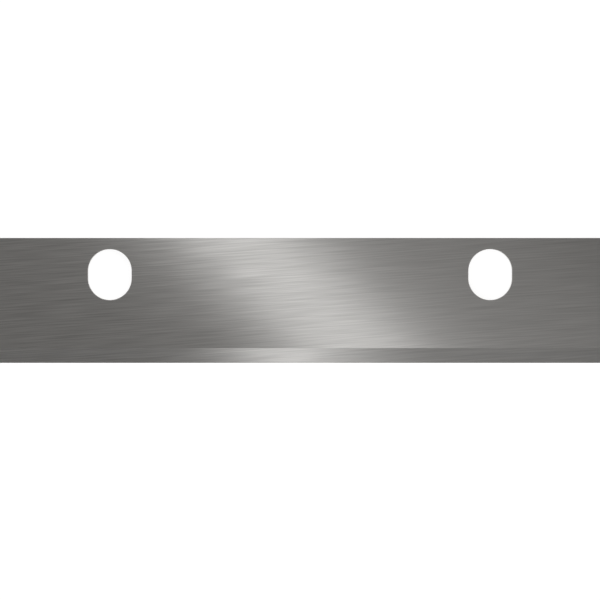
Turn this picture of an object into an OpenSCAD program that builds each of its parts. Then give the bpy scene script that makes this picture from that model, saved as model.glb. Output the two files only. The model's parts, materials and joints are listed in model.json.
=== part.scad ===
// Planer knife: one ground bar of high-speed steel, bevelled along one side to a cutting
// edge, with two slots for the screws that clamp it to a cutter block.
// The lapped back lies on z = 0 and the bevel faces up. x runs along the cutting edge,
// and y runs across the knife, from the cutting edge to the back edge.

/* [Bar] */
// Length along the cutting edge
knife_l = 150; // [120:1:640]
// Width from the cutting edge to the back edge
knife_w = 30; // [26:0.5:45]
// Thickness from the lapped back to the bevelled face
knife_t = 3; // [2:0.1:4]

/* [Cutting edge] */
// Angle between the bevel and the lapped back
bevel_angle = 40; // [32:1:55]

/* [Slots] */
// Distance between the centres of the two slots
slot_pitch = 91.25; // [40:0.25:104]
// Width of a slot, which clears an M10 screw
slot_w = 10.4; // [6:0.1:12]
// How far a screw can travel in its slot while the knife is set out
slot_travel = 1.75; // [0.5:0.25:3]
// Distance from the back edge to the centre of a slot
slot_inset = 8.8; // [8.5:0.1:11]

/* [Deburring] */
// Chamfer along the back edge, the ends of the face and the back corners
edge_break = 0.1; // [0.05:0.05:0.5]
// Chamfer round both mouths of a slot
slot_break = 0.1; // [0.05:0.05:0.4]

/* [Hidden] */
$fn = 96;

// Both sides of the knife lie as far from the middle of its width
cutting_edge_y = -knife_w / 2;
back_edge_y = knife_w / 2;
// How far the bevel reaches back from the cutting edge, seen square on to the face
bevel_w = knife_t / tan(bevel_angle);
slot_y = back_edge_y - slot_inset;
slot_x = [-slot_pitch / 2, slot_pitch / 2];
// How far a cutter runs past the faces that it cuts
overrun = 1;

// Section across the bar, in y and z: a rectangle with the bevel ground off one corner
// and both corners of the back edge broken. The tip at z = 0 is the cutting edge.
module section_profile() {
    polygon([
        [cutting_edge_y, 0],
        [back_edge_y - edge_break, 0],
        [back_edge_y, edge_break],
        [back_edge_y, knife_t - edge_break],
        [back_edge_y - edge_break, knife_t],
        [cutting_edge_y + bevel_w, knife_t],
    ]);
}

// Side view, in x and z: the ends are broken on the face, and stay crisp on the back,
// so that the cutting edge is keen along its whole length.
module side_profile() {
    end_x = knife_l / 2;
    polygon([
        [-end_x, 0],
        [end_x, 0],
        [end_x, knife_t - edge_break],
        [end_x - edge_break, knife_t],
        [-end_x + edge_break, knife_t],
        [-end_x, knife_t - edge_break],
    ]);
}

// Plan view, in x and y: square ends, with the two corners of the back edge broken
module plan_profile() {
    end_x = knife_l / 2;
    polygon([
        [-end_x, cutting_edge_y],
        [end_x, cutting_edge_y],
        [end_x, back_edge_y - edge_break],
        [end_x - edge_break, back_edge_y],
        [-end_x + edge_break, back_edge_y],
        [-end_x, back_edge_y - edge_break],
    ]);
}

// The bar is what the three views have in common
module ground_bar() {
    intersection() {
        rotate([90, 0, 90])
            linear_extrude(knife_l, center = true)
                section_profile();
        rotate([90, 0, 0])
            linear_extrude(knife_w, center = true)
                side_profile();
        linear_extrude(knife_t)
            plan_profile();
    }
}

// Puts a copy of its children at each end of a slot's travel
module at_travel_ends() {
    for (side = [-1, 1])
        translate([0, side * slot_travel / 2, 0])
            children();
}

// Through cut of one slot: round ends that a screw's shank fits, and straight sides
module slot_cutter() {
    cut_h = knife_t + 2 * overrun;
    translate([0, 0, -overrun]) {
        at_travel_ends()
            cylinder(d = slot_w, h = cut_h);
        translate([-slot_w / 2, -slot_travel / 2, 0])
            cube([slot_w, slot_travel, cut_h]);
    }
}

// Countersink round the mouth of a slot. It follows the slot's outline at z = 0 and
// spreads at 45 degrees up to slot_break, where the face of the bar is, and past it.
module mouth_cutter() {
    depth = slot_break + overrun;
    at_travel_ends()
        cylinder(r1 = slot_w / 2, r2 = slot_w / 2 + depth, h = depth);
    rotate([90, 0, 0])
        linear_extrude(slot_travel, center = true)
            polygon([
                [-slot_w / 2, 0],
                [slot_w / 2, 0],
                [slot_w / 2 + depth, depth],
                [-slot_w / 2 - depth, depth],
            ]);
}

// One slot with both of its mouths deburred
module deburred_slot() {
    slot_cutter();
    translate([0, 0, knife_t - slot_break])
        mouth_cutter();
    translate([0, 0, slot_break])
        mirror([0, 0, 1])
            mouth_cutter();
}

module knife() {
    color([0.56, 0.55, 0.53])
        difference() {
            ground_bar();
            for (x = slot_x)
                translate([x, slot_y, 0])
                    deburred_slot();
        }
}

knife();
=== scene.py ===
# %% [markdown]
# # Planer knife
#
# A planer knife is a thin bar of high-speed steel, ground on every side. One long edge is
# bevelled to a cutting edge, and two slots let it slide out as it is sharpened away. This
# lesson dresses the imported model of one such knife, and photographs it square on as it lies
# on a white table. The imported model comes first, as a frame that all the rest is built to.

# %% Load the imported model
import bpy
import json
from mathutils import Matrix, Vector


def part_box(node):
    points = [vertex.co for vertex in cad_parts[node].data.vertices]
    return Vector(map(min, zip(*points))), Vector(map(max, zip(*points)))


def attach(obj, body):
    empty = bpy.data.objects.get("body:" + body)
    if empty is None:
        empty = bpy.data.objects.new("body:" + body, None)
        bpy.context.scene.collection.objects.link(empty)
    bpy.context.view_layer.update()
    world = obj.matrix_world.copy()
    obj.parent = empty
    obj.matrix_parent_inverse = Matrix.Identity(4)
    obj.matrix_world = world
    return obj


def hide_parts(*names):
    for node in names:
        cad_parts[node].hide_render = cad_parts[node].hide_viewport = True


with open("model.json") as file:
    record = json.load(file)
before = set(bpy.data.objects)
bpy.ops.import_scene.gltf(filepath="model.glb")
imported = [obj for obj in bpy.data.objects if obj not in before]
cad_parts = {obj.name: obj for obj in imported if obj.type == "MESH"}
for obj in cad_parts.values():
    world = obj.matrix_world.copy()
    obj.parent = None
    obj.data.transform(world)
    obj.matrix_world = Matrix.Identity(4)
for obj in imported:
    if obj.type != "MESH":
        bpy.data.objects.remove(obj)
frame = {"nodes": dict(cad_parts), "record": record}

print("nodes:", ", ".join(frame["nodes"]))

# %% [markdown]
# ## Reading the sizes
#
# The knife could be drawn again from written sizes, but then two files would have to agree.
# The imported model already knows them, so each size is read from it: the outline from the
# node's box, the slots from the places where screws fit, and the bevel from the height at
# which the mesh's own corners lie. A size that changes there changes here too.

# %% Measure the knife
import json
import math

import bpy
from mathutils import Matrix, Vector

# Millimetres in a metre, and how near in metres two heights or edges count as the same
MM = 1000
SAME_PLACE = 1e-5

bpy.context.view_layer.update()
knife_low, knife_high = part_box("knife")
knife_l, knife_w, knife_t = knife_high - knife_low

mounts = {mount["name"]: mount for mount in frame["record"]["mounts"]}
slot_left = Vector(mounts["slot_left"]["pos_m"])
slot_right = Vector(mounts["slot_right"]["pos_m"])
slot_pitch = slot_right.x - slot_left.x
slot_w = 2 * mounts["slot_left"]["dims"]["hole_r_mm"] / MM
slot_l = mounts["slot_left"]["dims"]["slot_length_mm"] / MM

corners = [vertex.co for vertex in frame["nodes"]["knife"].data.vertices]
face_corners_y = [corner.y for corner in corners if corner.z > knife_high.z - SAME_PLACE]
bevel_w = min(face_corners_y) - knife_low.y
edge_break = knife_high.y - max(face_corners_y)
bevel_angle = math.atan2(knife_t, bevel_w)

print(f"bar {knife_l * MM:.1f} x {knife_w * MM:.1f} x {knife_t * MM:.1f} mm")
print(f"bevel {bevel_w * MM:.2f} mm wide, ground at {math.degrees(bevel_angle):.1f} degrees")
print(f"slots {slot_w * MM:.1f} x {slot_l * MM:.2f} mm, {slot_pitch * MM:.2f} mm apart")
print(f"edges broken by {edge_break * MM:.2f} mm")

# %% [markdown]
# ## The camera
#
# The photograph looks straight down and shows no perspective: the slots' walls can't be
# seen, and the band of steel keeps its width from side to side. An orthographic camera would
# do that too. A long lens from three metres away does it as a real camera would, and other
# views of the knife keep the same flat look. The scale comes from the height of the band in
# the picture, whose middle lies a little under the picture's.

# %% Set up the camera
PICTURE_PX = 600
BAND_TOP_PX = 237.9
BAND_BOTTOM_PX = 362.95
CAMERA_DISTANCE = 3.0
SENSOR_MM = 36.0

metres_per_px = knife_w / (BAND_BOTTOM_PX - BAND_TOP_PX)
picture_w = PICTURE_PX * metres_per_px
aim_y = ((BAND_TOP_PX + BAND_BOTTOM_PX) / 2 - PICTURE_PX / 2) * metres_per_px

camera_data = bpy.data.cameras.new("camera")
camera_data.sensor_width = SENSOR_MM
camera_data.lens = SENSOR_MM * CAMERA_DISTANCE / picture_w
camera = bpy.data.objects.new("camera", camera_data)
camera.location = (0, aim_y, knife_high.z + CAMERA_DISTANCE)
bpy.context.scene.collection.objects.link(camera)
bpy.context.scene.camera = camera
bpy.context.scene.view_settings.view_transform = "Standard"
print(f"{metres_per_px * MM:.4f} mm to the pixel, lens {camera_data.lens:.0f} mm")

# %% [markdown]
# ## Nodes as sums
#
# Shape, finish and light are all node trees here. Each could be wired node by node, but the
# sum that it works out would be lost among the links. So a small class, Wire, stands for one
# output socket, and Python's own operators on it add Math nodes: 1 - mask, 0.2 * marks.
# Only the operators that this lesson uses are there.


# %% Define a wire
class Wire:
    """An output socket that can be added, subtracted, multiplied, divided and compared."""

    def __init__(self, graph, socket):
        self.graph = graph
        self.socket = socket

    def __add__(self, other):
        return self.graph.math("ADD", self, other)

    def __radd__(self, other):
        return self.graph.math("ADD", other, self)

    def __sub__(self, other):
        return self.graph.math("SUBTRACT", self, other)

    def __rsub__(self, other):
        return self.graph.math("SUBTRACT", other, self)

    def __mul__(self, other):
        return self.graph.math("MULTIPLY", self, other)

    def __rmul__(self, other):
        return self.graph.math("MULTIPLY", other, self)

    def __truediv__(self, other):
        return self.graph.math("DIVIDE", self, other)

    def __neg__(self):
        return self.graph.math("SUBTRACT", 0, self)

    def __abs__(self):
        return self.graph.math("ABSOLUTE", self)

    def __gt__(self, other):
        return self.graph.math("GREATER_THAN", self, other)

    def __lt__(self, other):
        return self.graph.math("LESS_THAN", self, other)


print("a Wire adds, subtracts, multiplies, divides and compares")

# %% [markdown]
# ## One way to add a node
#
# Every other node comes from one method of a second class, Graph, which wraps a whole tree.
# The node's settings go first, because they decide which sockets it has, and then its
# sockets get links or plain values. A few shorter methods serve the nodes that come up most.


# %% Define a graph
class Graph:
    """One node tree, of any kind."""

    def __init__(self, tree):
        self.tree = tree

    def node(self, kind, settings=None, inputs=None):
        """Adds a node. inputs maps a socket's name or number to a Wire, or to a plain value."""
        node = self.tree.nodes.new(kind)
        for name, value in (settings or {}).items():
            setattr(node, name, value)
        for name, value in (inputs or {}).items():
            if isinstance(value, Wire):
                self.tree.links.new(value.socket, node.inputs[name])
            else:
                node.inputs[name].default_value = value
        return node

    def get(self, kind, settings=None, inputs=None, out=0):
        """Adds a node and gives one of its outputs."""
        return Wire(self, self.node(kind, settings, inputs).outputs[out])

    def math(self, operation, *values):
        """Adds a Math node on one value or two."""
        return self.get("ShaderNodeMath", {"operation": operation}, dict(enumerate(values)))

    def join(self, x, y, z):
        """Joins three numbers into a vector."""
        return self.get("ShaderNodeCombineXYZ", None, {"X": x, "Y": y, "Z": z})

    def split(self, vector):
        """Splits a vector into its x, y and z."""
        parts = self.node("ShaderNodeSeparateXYZ", None, {"Vector": vector})
        return [Wire(self, parts.outputs[axis]) for axis in "XYZ"]


print("a Graph adds any node, in any kind of tree")

# %% [markdown]
# ## A tree for the knife's shape
#
# The maker takes a flat bar, grinds the bevel along it, mills two slots through it and
# breaks the sharp edges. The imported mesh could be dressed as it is, but it is a fixed crowd
# of triangles. A Geometry Nodes tree that works in the maker's order has one named input
# for each size and each finish, so it makes any knife of this kind.

# %% Start the knife's node tree
SIZES = (
    "Length",
    "Width",
    "Thickness",
    "Bevel Width",
    "Slot Width",
    "Slot Length",
    "Slot Pitch",
    "Slot Place",
)
FINISHES = ("Face", "Back", "Bevel", "Sides", "Slot Walls")

knife_tree = bpy.data.node_groups.new("planer_knife", "GeometryNodeTree")
for name in SIZES:
    knife_tree.interface.new_socket(name, in_out="INPUT", socket_type="NodeSocketFloat")
for name in FINISHES:
    knife_tree.interface.new_socket(name, in_out="INPUT", socket_type="NodeSocketMaterial")
knife_tree.interface.new_socket("Geometry", in_out="OUTPUT", socket_type="NodeSocketGeometry")

shape = Graph(knife_tree)
given = shape.node("NodeGroupInput")
size = {name: Wire(shape, given.outputs[name]) for name in SIZES}
finish = {name: Wire(shape, given.outputs[name]) for name in FINISHES}
print(f"the tree takes {len(SIZES)} sizes and {len(FINISHES)} finishes")

# %% [markdown]
# ## The bar and its bevel
#
# The bar is a box. Extruding a drawn section would give the same solid, but the bevel is
# easier to see as the grinder does it: the box's front top edge moves back by the bevel's
# width, and the front face leans over. The same step lifts the box on to the table.

# %% Grind the bar
box = shape.get(
    "GeometryNodeMeshCube",
    None,
    {"Size": shape.join(size["Length"], size["Width"], size["Thickness"])},
)
_, y, z = shape.split(shape.get("GeometryNodeInputPosition"))
front_top = (y < 0) * (z > 0)
bar = shape.get(
    "GeometryNodeSetPosition",
    None,
    {
        "Geometry": box,
        "Offset": shape.join(0, front_top * size["Bevel Width"], size["Thickness"] / 2),
    },
)
print(f"the bar's front leans over by {bevel_w * MM:.2f} mm")

# %% [markdown]
# ## The slots
#
# A slot is what a round cutter leaves when it travels a little way across the knife. Its
# shape is the hull of two cylinders, one at each end of the travel, so Mesh Line sets out
# the two ends, Convex Hull wraps them, and a second Mesh Line sets out the two slots. A
# Boolean then cuts both from the bar. Its exact solver leaves a clean rim with no stray
# faces.

# %% Mill the slots
CUTTER_SIDES = 96
CUTTER_OVERRUN = 4


def copies_on_line(graph, thing, start, step):
    """Two copies of a thing, with the first at start and the second a step further."""
    line = graph.get(
        "GeometryNodeMeshLine",
        {"mode": "OFFSET"},
        {"Count": 2, "Start Location": start, "Offset": step},
    )
    pair = graph.get("GeometryNodeInstanceOnPoints", None, {"Points": line, "Instance": thing})
    return graph.get("GeometryNodeRealizeInstances", None, {"Geometry": pair})


travel = size["Slot Length"] - size["Slot Width"]
cutter = shape.get(
    "GeometryNodeMeshCylinder",
    None,
    {
        "Vertices": CUTTER_SIDES,
        "Radius": size["Slot Width"] / 2,
        "Depth": CUTTER_OVERRUN * size["Thickness"],
    },
)
travel_ends = copies_on_line(
    shape,
    cutter,
    shape.join(0, travel / -2, 0),
    shape.join(0, travel, 0),
)
slot = shape.get("GeometryNodeConvexHull", None, {"Geometry": travel_ends})
slots = copies_on_line(
    shape,
    slot,
    shape.join(size["Slot Pitch"] / -2, size["Slot Place"], 0),
    shape.join(size["Slot Pitch"], 0, 0),
)
slotted_bar = shape.get(
    "GeometryNodeMeshBoolean",
    {"operation": "DIFFERENCE", "solver": "EXACT"},
    {"Mesh 1": bar, "Mesh 2": slots},
)
travel_mm = (slot_l - slot_w) * MM
print(f"each slot is milled with {CUTTER_SIDES} sides and {travel_mm:.2f} mm of travel")

# %% [markdown]
# ## Which edges are broken
#
# A ground knife would cut the hand that fits it, so its square edges are stroked with a
# stone. The cutting edge and the ends of the back stay keen. A Bevel modifier breaks the
# edges later, and this step tells it which: the square ones, found by the angle between
# their faces, but not those at an end of the knife, below its face and short of its back
# edge. Every other edge that turns sharply is marked sharp, so that smooth shading doesn't
# round off the line between the face and the bevel.

# %% Mark the edges to break
SQUARE_FROM = math.radians(80)
SQUARE_TO = math.radians(100)
SHARP_FROM = math.radians(30)

angle = shape.get("GeometryNodeInputMeshEdgeAngle")
x, y, z = shape.split(shape.get("GeometryNodeInputPosition"))
at_end = abs(x) > size["Length"] / 2 - SAME_PLACE
below_face = z < size["Thickness"] - SAME_PLACE
short_of_back_edge = y < size["Width"] / 2 - SAME_PLACE
square = (angle > SQUARE_FROM) * (angle < SQUARE_TO)
broken = square * (1 - at_end * below_face * short_of_back_edge)
sharp = (angle > SHARP_FROM) * (1 - broken)

edges_weighed = shape.get(
    "GeometryNodeStoreNamedAttribute",
    {"data_type": "FLOAT", "domain": "EDGE"},
    {"Geometry": slotted_bar, "Name": "bevel_weight_edge", "Value": broken},
)
edges_marked = shape.get(
    "GeometryNodeStoreNamedAttribute",
    {"data_type": "BOOLEAN", "domain": "EDGE"},
    {"Geometry": edges_weighed, "Name": "sharp_edge", "Value": sharp},
)
smooth = shape.get("GeometryNodeSetShadeSmooth", None, {"Geometry": edges_marked})
print("square edges are to be broken, and the cutting edge stays keen")

# %% [markdown]
# ## Which finish goes where
#
# Every face of the knife shows the tool that made it: the wheel that ground the face, the
# one that ground the bevel, the lap for the back, and the cutter in the slots. Painting a
# map of finishes is one way. The faces' own directions tell them apart just as well, and
# go on doing so when a size changes. The upright faces that aren't on the knife's outline
# are the walls of its slots. The tree ends here, with real geometry and its materials.

# %% Name the finishes and end the tree
# Limits on one part of a face's direction, which is 1 when the face points straight that way
FACES_UP = 0.9
UPRIGHT = 0.1

_, normal_y, normal_z = shape.split(shape.get("GeometryNodeInputNormal"))
x, y, _ = shape.split(shape.get("GeometryNodeInputPosition"))
within_length = abs(x) < size["Length"] / 2 - SAME_PLACE
within_width = abs(y) < size["Width"] / 2 - SAME_PLACE
zones = {
    "Sides": abs(normal_z) < UPRIGHT,
    "Slot Walls": (abs(normal_z) < UPRIGHT) * within_length * within_width,
    "Bevel": (-normal_y > UPRIGHT) * (normal_z > UPRIGHT),
    "Face": normal_z > FACES_UP,
    "Back": -normal_z > FACES_UP,
}
finished = shape.get("GeometryNodeRealizeInstances", None, {"Geometry": smooth})
for zone, selection in zones.items():
    finished = shape.get(
        "GeometryNodeSetMaterial",
        None,
        {"Geometry": finished, "Selection": selection, "Material": finish[zone]},
    )
shape.node("NodeGroupOutput", None, {"Geometry": finished})
print(f"{len(knife_tree.nodes)} nodes shape the knife")

# %% [markdown]
# ## Grinding marks
#
# A grinding wheel leaves thousands of fine parallel scratches. In the photograph they run
# nearly along the knife, rising a few degrees to the right. An image of scratches would
# repeat, and blur close up. Noise that is stretched along the grinding direction doesn't,
# and a Mapping node set to Texture takes the size of one mark in metres. Three sizes of
# mark lie over each other, because one size alone looks like wood grain. On the ends and
# the back edge the wheel goes round the knife, so there the marks are thin from top to
# bottom.

# %% Define the grinding marks
LAY_ANGLE = math.radians(3.8)
MARKS = [
    # length along and width across, in metres, and share
    (0.040, 0.0025, 0.12),
    (0.020, 0.0007, 0.20),
    (0.011, 0.0003, 0.68),
]
MARK_SIZE_Z = 0.0015
NEXT_SIZE_STARTS = Vector((0.37, 0.11, 0.0))


def stretched_noise(graph, mark_size, start=(0.0, 0.0, 0.0), turn=0.0):
    """Noise about 0, from -1 to 1, in marks of the given size in metres."""
    place = graph.get("ShaderNodeTexCoord", out="Object")
    stretched = graph.get(
        "ShaderNodeMapping",
        {"vector_type": "TEXTURE"},
        {"Vector": place, "Location": start, "Rotation": (0, 0, turn), "Scale": mark_size},
    )
    noise = graph.get(
        "ShaderNodeTexNoise",
        {"noise_dimensions": "3D"},
        {"Vector": stretched, "Scale": 1.0, "Detail": 0.0},
    )
    return 2 * noise - 1


def grinding_marks(graph, start_x, turn=0.0, round_sides=False):
    """Marks of all sizes laid over each other, along x or round the knife's sides."""
    total = 0
    for number, (along, across, share) in enumerate(MARKS):
        mark_size = (along, along, across) if round_sides else (along, across, MARK_SIZE_Z)
        start = Vector((start_x, 0, 0)) + number * NEXT_SIZE_STARTS
        total = total + share * stretched_noise(graph, mark_size, start, turn)
    return total


print(f"grinding marks in {len(MARKS)} sizes, turned {math.degrees(LAY_ANGLE):.1f} degrees")

# %% [markdown]
# ## Bare steel
#
# Ground steel is a metal with a soft shine: it shows the room, but blurred. The marks change
# three things a little: how much light comes back, how rough the steel is, and its height,
# in tenths of a thousandth of a millimetre. Roughness alone would be truer to the metal,
# but the render's noise filter takes such marks for noise. It keeps those that the colour
# has too. A wheel wears smooth as it goes, and in the photograph the marks grow fainter
# from left to right, so a Map Range node fades their contrast along the knife.

# %% Define the steel
STEEL = (0.567, 0.560, 0.547)
STEEL_ROUGHNESS = 0.300
MARK_CONTRAST_LEFT = 0.35
MARK_CONTRAST_FADES = 0.13
MARK_FADE_X = (-0.055, 0.035)
MARK_ROUGHNESS = 0.012
MARK_HEIGHT = 0.4e-6


def new_material(name):
    """A material with an empty node tree, and its Graph."""
    material = bpy.data.materials.new(name)
    material.use_nodes = True
    material.node_tree.nodes.clear()
    return material, Graph(material.node_tree)


def rise(graph, value, low, high):
    """0 up to low and 1 from high on, with a smooth rise between them."""
    return graph.get(
        "ShaderNodeMapRange",
        {"interpolation_type": "SMOOTHSTEP"},
        {"Value": value, "From Min": low, "From Max": high},
    )


def steel_material(name, marks, roughness=STEEL_ROUGHNESS):
    """Bare steel whose colour, roughness and height follow the marks that a tool left."""
    material, graph = new_material(name)
    pattern = marks(graph)
    x, _, _ = graph.split(graph.get("ShaderNodeTexCoord", out="Object"))
    contrast = MARK_CONTRAST_LEFT - MARK_CONTRAST_FADES * rise(graph, x, *MARK_FADE_X)
    colour = graph.get(
        "ShaderNodeVectorMath",
        {"operation": "SCALE"},
        {0: STEEL, "Scale": 1 + contrast * pattern},
    )
    bump = graph.get(
        "ShaderNodeBump",
        None,
        {"Strength": 1.0, "Distance": 1.0, "Height": MARK_HEIGHT * pattern},
    )
    steel = graph.get(
        "ShaderNodeBsdfPrincipled",
        None,
        {
            "Base Color": colour,
            "Metallic": 1.0,
            "Roughness": roughness - MARK_ROUGHNESS * pattern,
            "Normal": bump,
        },
    )
    graph.node("ShaderNodeOutputMaterial", None, {"Surface": steel})
    return material


print(f"steel of roughness {STEEL_ROUGHNESS}, with marks {MARK_HEIGHT * MM:.4f} mm deep")

# %% [markdown]
# ## The five finishes
#
# One steel serves them all, and only the marks differ. The face and the bevel are ground at
# the same slant, the bevel with a finer wheel. The back is lapped flat and is the smoothest,
# with marks that lean the other way. An end mill cut the slots, and its teeth left fine
# upright lines on their walls. Each ground face takes its marks from another stretch of the
# same noise, or the marks would run on from one face to the next.

# %% Make the finishes
BEVEL_ROUGHNESS = 0.290
BACK_ROUGHNESS = 0.26
WALL_ROUGHNESS = 0.34
TOOTH_MARK = (0.0002, 0.0002, 0.004)
FACE_MARKS_START = 0.0
BEVEL_MARKS_START = 1.7
SIDE_MARKS_START = 4.1
BACK_MARKS_START = 5.9

finishes = {
    "Face": steel_material(
        "ground_face",
        lambda graph: grinding_marks(graph, FACE_MARKS_START, LAY_ANGLE),
    ),
    "Bevel": steel_material(
        "ground_bevel",
        lambda graph: grinding_marks(graph, BEVEL_MARKS_START, LAY_ANGLE),
        BEVEL_ROUGHNESS,
    ),
    "Back": steel_material(
        "lapped_back",
        lambda graph: grinding_marks(graph, BACK_MARKS_START, -LAY_ANGLE),
        BACK_ROUGHNESS,
    ),
    "Sides": steel_material(
        "ground_sides",
        lambda graph: grinding_marks(graph, SIDE_MARKS_START, round_sides=True),
    ),
    "Slot Walls": steel_material(
        "milled_walls",
        lambda graph: stretched_noise(graph, TOOTH_MARK),
        WALL_ROUGHNESS,
    ),
}
print("finishes:", ", ".join(material.name for material in finishes.values()))

# %% [markdown]
# ## Making the knife
#
# A tree does nothing until a modifier runs it, and the modifier needs an object to sit on.
# An empty mesh carries it, with a Bevel after it that breaks the marked edges. Leaving both
# on the object would work in this file alone. The export wants a plain mesh, so the result is
# copied out as one and the carrier goes. The imported node is then hidden, and the new piece
# is hung on the root body.

# %% Make the knife
EDGE_SEGMENTS = 3


def run_tree(name, tree, values, edge_width, edge_segments):
    """Runs a tree and a Bevel on an empty mesh, and gives the result as one plain mesh."""
    carrier = bpy.data.objects.new(f"{name}_carrier", bpy.data.meshes.new(f"{name}_carrier"))
    bpy.context.scene.collection.objects.link(carrier)
    shaping = carrier.modifiers.new("shape", "NODES")
    shaping.node_group = tree
    for item in tree.interface.items_tree:
        if item.in_out == "INPUT":
            shaping[item.identifier] = values[item.name]
    breaking = carrier.modifiers.new("broken_edges", "BEVEL")
    breaking.limit_method = "WEIGHT"
    breaking.width = edge_width
    breaking.segments = edge_segments
    breaking.harden_normals = True
    evaluated = carrier.evaluated_get(bpy.context.evaluated_depsgraph_get())
    mesh = bpy.data.meshes.new_from_object(evaluated)
    mesh.name = name
    carrier.modifiers.clear()
    bpy.data.objects.remove(carrier)
    piece = bpy.data.objects.new(name, mesh)
    bpy.context.scene.collection.objects.link(piece)
    return piece


sizes = {
    "Length": knife_l,
    "Width": knife_w,
    "Thickness": knife_t,
    "Bevel Width": bevel_w,
    "Slot Width": slot_w,
    "Slot Length": slot_l,
    "Slot Pitch": slot_pitch,
    "Slot Place": slot_left.y,
}
knife = run_tree("ground_knife", knife_tree, {**sizes, **finishes}, edge_break, EDGE_SEGMENTS)
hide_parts("knife")
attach(knife, "root")
print(f"knife: {len(knife.data.polygons)} faces, {len(knife.data.vertices)} vertices")

# %% [markdown]
# ## The table
#
# The knife lies on a plain white table. White paint has to be lit strongly before a camera
# sees it as pure white, and then the steel glares. So most of the table's white is a glow
# that only the camera sees, and what mirrors it or lets it through. The rest is real paint,
# which keeps the knife's shadow. From below, the table is clear, so that the back of the
# knife can be looked at too.

# %% Build the table
TABLE_SIZE = 30.0
TABLE_GLOW = 0.85
TABLE_PAINT = 0.25


def table_material():
    """White paint that glows for the camera and for mirrors, and is clear from below."""
    material, graph = new_material("white_table")
    rays = graph.node("ShaderNodeLightPath")
    kinds = ("Is Camera Ray", "Is Glossy Ray", "Is Transmission Ray")
    seen = graph.math("MINIMUM", sum(Wire(graph, rays.outputs[kind]) for kind in kinds), 1)
    glow = graph.get("ShaderNodeEmission", None, {"Strength": TABLE_GLOW * seen})
    paint = graph.get("ShaderNodeBsdfDiffuse", None, {"Color": (*[TABLE_PAINT] * 3, 1.0)})
    lit = graph.get("ShaderNodeAddShader", None, {0: glow, 1: paint})
    clear = graph.get("ShaderNodeBsdfTransparent")
    from_below = graph.get("ShaderNodeNewGeometry", out="Backfacing")
    both_sides = graph.get("ShaderNodeMixShader", None, {0: from_below, 1: lit, 2: clear})
    graph.node("ShaderNodeOutputMaterial", None, {"Surface": both_sides})
    return material


half = TABLE_SIZE / 2
table_mesh = bpy.data.meshes.new("table")
table_mesh.from_pydata(
    [(-half, -half, 0), (half, -half, 0), (half, half, 0), (-half, half, 0)], [], [(0, 1, 2, 3)]
)
table_mesh.materials.append(table_material())
table = bpy.data.objects.new("table", table_mesh)
bpy.context.scene.collection.objects.link(table)
print(f"table {TABLE_SIZE:.0f} m square, glow {TABLE_GLOW}, paint {TABLE_PAINT}")

# %% [markdown]
# ## The light tent
#
# Bare steel has almost no look of its own: it shows the room. Seen from straight above, the
# flat face shows the roof, and the bevel shows what lies low in front of the knife. In the
# photograph both are dark at the knife's ends, so the tent has a dark roof and a dark panel
# low in front. Between roof and table it has a bright ring, which does most of the lighting,
# over a grey one, so that from the side the face, bevel and ends stand out from each other.
# The tent could be made of meshes. As a world it casts the same light and never hides the
# knife from a camera.

# %% Pitch the light tent
TENT_FOOT = 1.0
TENT_RINGS = [
    # degrees up where a ring begins and where it is whole, and its brightness
    (8, 16, 0.45),
    (30, 40, 1.65),
    (50, 66, 0.112),
]
TENT_COLOUR = (1.017, 1.0, 0.984, 1.0)
PANEL_BRIGHTNESS = 0.01
# How far to the front the panel begins and is whole, where 1 is straight ahead
PANEL_SIDES = (0.66, 0.82)
# Degrees up where the panel's foot begins and is whole, and where its top thins and ends
PANEL_FOOT = (0.5, 2.5)
PANEL_TOP = (22, 35)


def rise_by_angle(graph, z, low, high):
    """A rise between two angles above the table, where z is the sine of the angle."""
    return rise(graph, z, math.sin(math.radians(low)), math.sin(math.radians(high)))


def light_tent():
    """A world whose brightness goes by height, with a dark panel in front."""
    world = bpy.data.worlds.new("light_tent")
    world.use_nodes = True
    world.node_tree.nodes.clear()
    graph = Graph(world.node_tree)
    _, y, z = graph.split(graph.get("ShaderNodeTexCoord", out="Generated"))
    tent = TENT_FOOT
    ring_below = TENT_FOOT
    for begins, whole, brightness in TENT_RINGS:
        tent = tent + (brightness - ring_below) * rise_by_angle(graph, z, begins, whole)
        ring_below = brightness
    above_foot = rise_by_angle(graph, z, *PANEL_FOOT)
    below_top = 1 - rise_by_angle(graph, z, *PANEL_TOP)
    panel = rise(graph, -y, *PANEL_SIDES) * above_foot * below_top
    brightness = tent * (1 - panel) + PANEL_BRIGHTNESS * panel
    background = graph.get(
        "ShaderNodeBackground", None, {"Color": TENT_COLOUR, "Strength": brightness}
    )
    graph.node("ShaderNodeOutputWorld", None, {"Surface": background})
    return world


bpy.context.scene.world = light_tent()
print(f"the tent has a foot, {len(TENT_RINGS)} rings and a dark panel in front")

# %% [markdown]
# ## The lamps over the face
#
# The bright band across the face mirrors a long narrow lamp that hangs low over the knife,
# turned 45 degrees. The steel's roughness blurs it, and the band gets softer the higher the
# lamp hangs. Beside it, a broad dim lamp makes the band's right side fade more slowly than
# its left. A spot lamp would be easier, but it has no length, and would leave a round
# patch. A lamp's power is its brightness times pi times its area, so its brightness can be
# given on the same scale as the tent's.

# %% Hang the lamps over the face
BAND_TURN = math.radians(45)
FACE_BAND_X = 0.0009
FACE_LAMP_HEIGHT = 0.065
FACE_LAMP_SIZE = (0.0195, 0.18)
FACE_LAMP_BRIGHTNESS = 1.11
FACE_FILL_ASIDE = 0.021
FACE_FILL_SIZE = (0.064, 0.18)
FACE_FILL_BRIGHTNESS = 0.083


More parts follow.
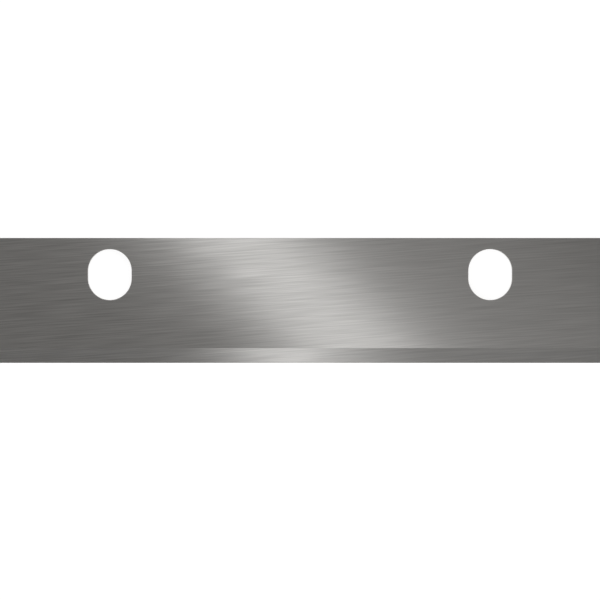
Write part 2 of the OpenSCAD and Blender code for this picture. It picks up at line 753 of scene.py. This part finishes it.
def strip_lamp(name, aim, direction, distance, turn, lamp_size, brightness):
    """An area lamp that shines on aim from a distance, turned about its own direction."""
    data = bpy.data.lights.new(name, "AREA")
    data.shape = "RECTANGLE"
    data.size, data.size_y = lamp_size
    data.energy = brightness * math.pi * data.size * data.size_y
    lamp = bpy.data.objects.new(name, data)
    facing = (-direction).to_track_quat("-Z", "Y").to_matrix().to_4x4()
    place = Matrix.Translation(aim + direction * distance)
    lamp.matrix_world = place @ facing @ Matrix.Rotation(turn, 4, "Z")
    lamp.visible_camera = False
    bpy.context.scene.collection.objects.link(lamp)
    print(f"{name}: {data.size * MM:.0f} x {data.size_y * MM:.0f} mm, {data.energy:.4f} W")


face_band = Vector((FACE_BAND_X, 0, knife_high.z))
across_band = Vector((1, 1, 0)).normalized()
straight_up = Vector((0, 0, 1))
strip_lamp(
    "face_lamp",
    aim=face_band,
    direction=straight_up,
    distance=FACE_LAMP_HEIGHT,
    turn=BAND_TURN,
    lamp_size=FACE_LAMP_SIZE,
    brightness=FACE_LAMP_BRIGHTNESS,
)
strip_lamp(
    "face_fill_lamp",
    aim=face_band + across_band * FACE_FILL_ASIDE,
    direction=straight_up,
    distance=FACE_LAMP_HEIGHT,
    turn=BAND_TURN,
    lamp_size=FACE_FILL_SIZE,
    brightness=FACE_FILL_BRIGHTNESS,
)

# %% [markdown]
# ## The lamps in front of the bevel
#
# The bevel has a bright band of its own, which meets the face's at an angle. Seen from
# above, a bevel of 40 degrees mirrors what lies 10 degrees above the table, so its lamp
# stands in front of the knife and just clears the table. The direction is worked out from
# the bevel's own angle. A second, dim lamp lifts the bevel's right half.

# %% Stand the lamps in front of the bevel
BEVEL_BAND_X = -0.0006
BEVEL_BAND_TURN = math.radians(46)
BEVEL_LAMP_DISTANCE = 0.103
BEVEL_LAMP_SIZE = (0.0067, 0.048)
BEVEL_LAMP_BRIGHTNESS = 4.0
BEVEL_FILL_ASIDE = 0.037
BEVEL_FILL_SIZE = (0.070, 0.034)
BEVEL_FILL_BRIGHTNESS = 0.085

mirrored = 2 * bevel_angle
bevel_mirrors = Vector((0, -math.sin(mirrored), math.cos(mirrored)))
bevel_band = Vector((BEVEL_BAND_X, knife_low.y + bevel_w / 2, knife_t / 2))
strip_lamp(
    "bevel_lamp",
    aim=bevel_band,
    direction=bevel_mirrors,
    distance=BEVEL_LAMP_DISTANCE,
    turn=BEVEL_BAND_TURN,
    lamp_size=BEVEL_LAMP_SIZE,
    brightness=BEVEL_LAMP_BRIGHTNESS,
)
strip_lamp(
    "bevel_fill_lamp",
    aim=bevel_band + Vector((BEVEL_FILL_ASIDE, 0, 0)),
    direction=bevel_mirrors,
    distance=BEVEL_LAMP_DISTANCE,
    turn=0.0,
    lamp_size=BEVEL_FILL_SIZE,
    brightness=BEVEL_FILL_BRIGHTNESS,
)
print("the bevel mirrors", [round(value, 3) for value in bevel_mirrors])
